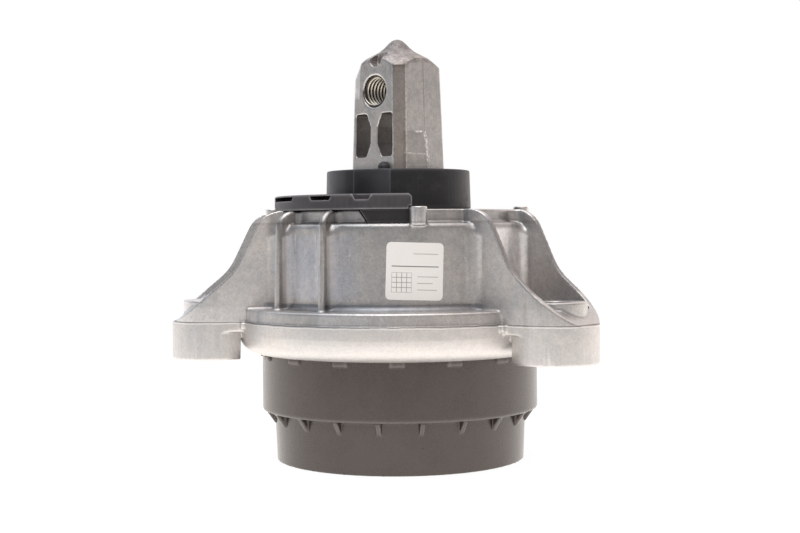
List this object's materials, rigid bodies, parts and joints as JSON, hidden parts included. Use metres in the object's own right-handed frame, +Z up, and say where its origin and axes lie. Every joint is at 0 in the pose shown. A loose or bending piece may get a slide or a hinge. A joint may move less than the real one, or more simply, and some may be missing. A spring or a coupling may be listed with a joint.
{
  "type": "hydraulic engine mount",
  "caption": "Hydraulic engine mount: cast three-legged bracket over a moulded fluid cup, with a square core tower on a rubber spring.",
  "frame": {"origin": "middle of the fluid cup's flat underside, on the cup's axis", "axes": "+Z up along the cup's axis; the two front bolt holes lie on a line along X, the rear one is on +Y; the tower's threaded hole looks 26.5 degrees to the left of -Y"},
  "size_m": [0.162, 0.1478, 0.16],
  "materials": {
    "cast_aluminium": "as-cast, satin, slightly grainy",
    "core_aluminium": "as-cast, satin, with flash marks",
    "channel_aluminium": "machined",
    "ring_steel": "phosphated",
    "collar_rubber": "moulded, slightly glossy",
    "spring_rubber": "moulded, matte",
    "cover_plastic": "moulded, fine grain",
    "cup_plastic": "glass-filled, satin",
    "label_paper": "printed film, satin"
  },
  "bodies": {
    "root": {"housing": "cast_aluminium", "core": "core_aluminium", "stop_collar": "collar_rubber", "main_spring": "spring_rubber", "spring_ring": "ring_steel", "deck_cover": "cover_plastic", "channel_top": "channel_aluminium", "channel_bottom": "channel_aluminium", "decoupler": "spring_rubber", "bellows": "spring_rubber", "clamp_ring": "ring_steel", "base_cup": "cup_plastic", "label": "label_paper"}
  },
  "joints": []
}
